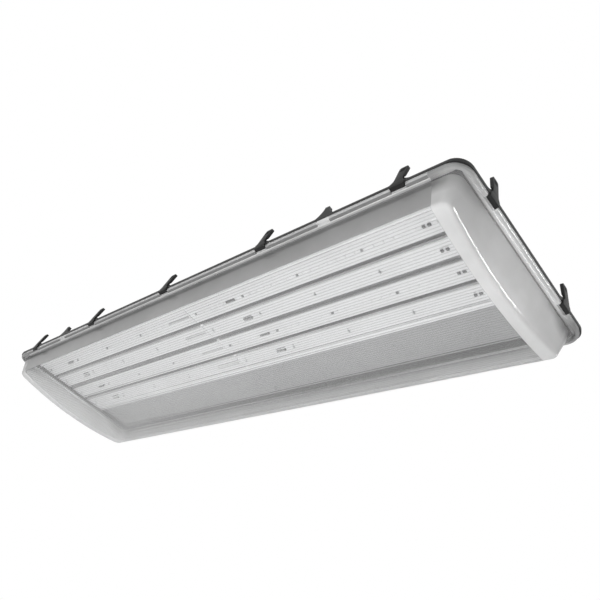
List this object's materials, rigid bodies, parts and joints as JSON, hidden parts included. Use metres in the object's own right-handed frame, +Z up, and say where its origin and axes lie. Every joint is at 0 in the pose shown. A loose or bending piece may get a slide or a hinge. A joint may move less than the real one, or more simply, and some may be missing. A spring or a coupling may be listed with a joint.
{
  "type": "vapour-tight LED light",
  "caption": "Long sealed ceiling light with rows of LED boards behind a clear ribbed lens that draw latches pull shut.",
  "frame": {"origin": "on the ceiling plane, at the centre of the four fixing slots", "axes": "+X along the light towards the end without the cable gland, +Y across it, +Z up to the ceiling"},
  "size_m": [1.3011, 0.3816, 0.1584],
  "materials": {
    "housing": "fine moulded grain",
    "latch": "satin moulded",
    "lens": "clear, ribbed, with frosted ends",
    "seal": "soft foam",
    "tray": "light grey coat",
    "board": "white solder mask",
    "connectors": "moulded",
    "links": "moulded",
    "reflector": "white",
    "screws": "zinc plated",
    "driver": "white coat",
    "terminal": "moulded",
    "lead": "smooth sleeve",
    "bracket": "rolled stainless sheet",
    "gland": "moulded"
  },
  "bodies": {
    "fixture": {"housing": "housing", "lens": "lens", "hanger_bracket_1": "bracket", "hanger_bracket_2": "bracket", "bracket_screws": "screws", "gland_body": "gland", "gland_seal": "seal", "gland_nut": "gland", "gasket": "seal", "gear_tray": "tray", "led_board_1a": "board", "led_board_1b": "board", "led_board_2a": "board", "led_board_2b": "board", "led_board_3a": "board", "led_board_3b": "board", "led_board_4a": "board", "led_board_4b": "board", "board_connectors": "connectors", "board_plugs": "connectors", "board_links": "links", "board_screws": "screws", "edge_reflector_left": "reflector", "edge_reflector_right": "reflector", "tray_screws": "screws", "led_driver_1": "driver", "led_driver_2": "driver", "driver_screws": "screws", "terminal_block": "terminal", "driver_leads": "lead"},
    "latch_left_1": {"latch_left_1": "latch"},
    "latch_left_2": {"latch_left_2": "latch"},
    "latch_left_3": {"latch_left_3": "latch"},
    "latch_left_4": {"latch_left_4": "latch"},
    "latch_left_5": {"latch_left_5": "latch"},
    "latch_right_1": {"latch_right_1": "latch"},
    "latch_right_2": {"latch_right_2": "latch"},
    "latch_right_3": {"latch_right_3": "latch"},
    "latch_right_4": {"latch_right_4": "latch"},
    "latch_right_5": {"latch_right_5": "latch"},
    "latch_near_1": {"latch_near_1": "latch"},
    "latch_near_2": {"latch_near_2": "latch"},
    "latch_far_1": {"latch_far_1": "latch"},
    "latch_far_2": {"latch_far_2": "latch"}
  },
  "joints": [
    {"name": "latch_left_1_hinge", "type": "hinge", "parent": "fixture", "child": "latch_left_1", "pos_m": [-0.545, -0.1848, -0.0963], "axis": [1, 0, 0], "range_deg": [0, 105]},
    {"name": "latch_left_2_hinge", "type": "hinge", "parent": "fixture", "child": "latch_left_2", "pos_m": [-0.2725, -0.1848, -0.0963], "axis": [1, 0, 0], "range_deg": [0, 105]},
    {"name": "latch_left_3_hinge", "type": "hinge", "parent": "fixture", "child": "latch_left_3", "pos_m": [0, -0.1848, -0.0963], "axis": [1, 0, 0], "range_deg": [0, 105]},
    {"name": "latch_left_4_hinge", "type": "hinge", "parent": "fixture", "child": "latch_left_4", "pos_m": [0.2725, -0.1848, -0.0963], "axis": [1, 0, 0], "range_deg": [0, 105]},
    {"name": "latch_left_5_hinge", "type": "hinge", "parent": "fixture", "child": "latch_left_5", "pos_m": [0.545, -0.1848, -0.0963], "axis": [1, 0, 0], "range_deg": [0, 105]},
    {"name": "latch_right_1_hinge", "type": "hinge", "parent": "fixture", "child": "latch_right_1", "pos_m": [-0.545, 0.1848, -0.0963], "axis": [-1, 0, 0], "range_deg": [0, 105]},
    {"name": "latch_right_2_hinge", "type": "hinge", "parent": "fixture", "child": "latch_right_2", "pos_m": [-0.2725, 0.1848, -0.0963], "axis": [-1, 0, 0], "range_deg": [0, 105]},
    {"name": "latch_right_3_hinge", "type": "hinge", "parent": "fixture", "child": "latch_right_3", "pos_m": [0, 0.1848, -0.0963], "axis": [-1, 0, 0], "range_deg": [0, 105]},
    {"name": "latch_right_4_hinge", "type": "hinge", "parent": "fixture", "child": "latch_right_4", "pos_m": [0.2725, 0.1848, -0.0963], "axis": [-1, 0, 0], "range_deg": [0, 105]},
    {"name": "latch_right_5_hinge", "type": "hinge", "parent": "fixture", "child": "latch_right_5", "pos_m": [0.545, 0.1848, -0.0963], "axis": [-1, 0, 0], "range_deg": [0, 105]},
    {"name": "latch_near_1_hinge", "type": "hinge", "parent": "fixture", "child": "latch_near_1", "pos_m": [0.6428, -0.11, -0.0963], "axis": [0, 1, 0], "range_deg": [0, 105]},
    {"name": "latch_near_2_hinge", "type": "hinge", "parent": "fixture", "child": "latch_near_2", "pos_m": [0.6428, 0.11, -0.0963], "axis": [0, 1, 0], "range_deg": [0, 105]},
    {"name": "latch_far_1_hinge", "type": "hinge", "parent": "fixture", "child": "latch_far_1", "pos_m": [-0.6428, -0.11, -0.0963], "axis": [0, -1, 0], "range_deg": [0, 105]},
    {"name": "latch_far_2_hinge", "type": "hinge", "parent": "fixture", "child": "latch_far_2", "pos_m": [-0.6428, 0.11, -0.0963], "axis": [0, -1, 0], "range_deg": [0, 105]}
  ]
}
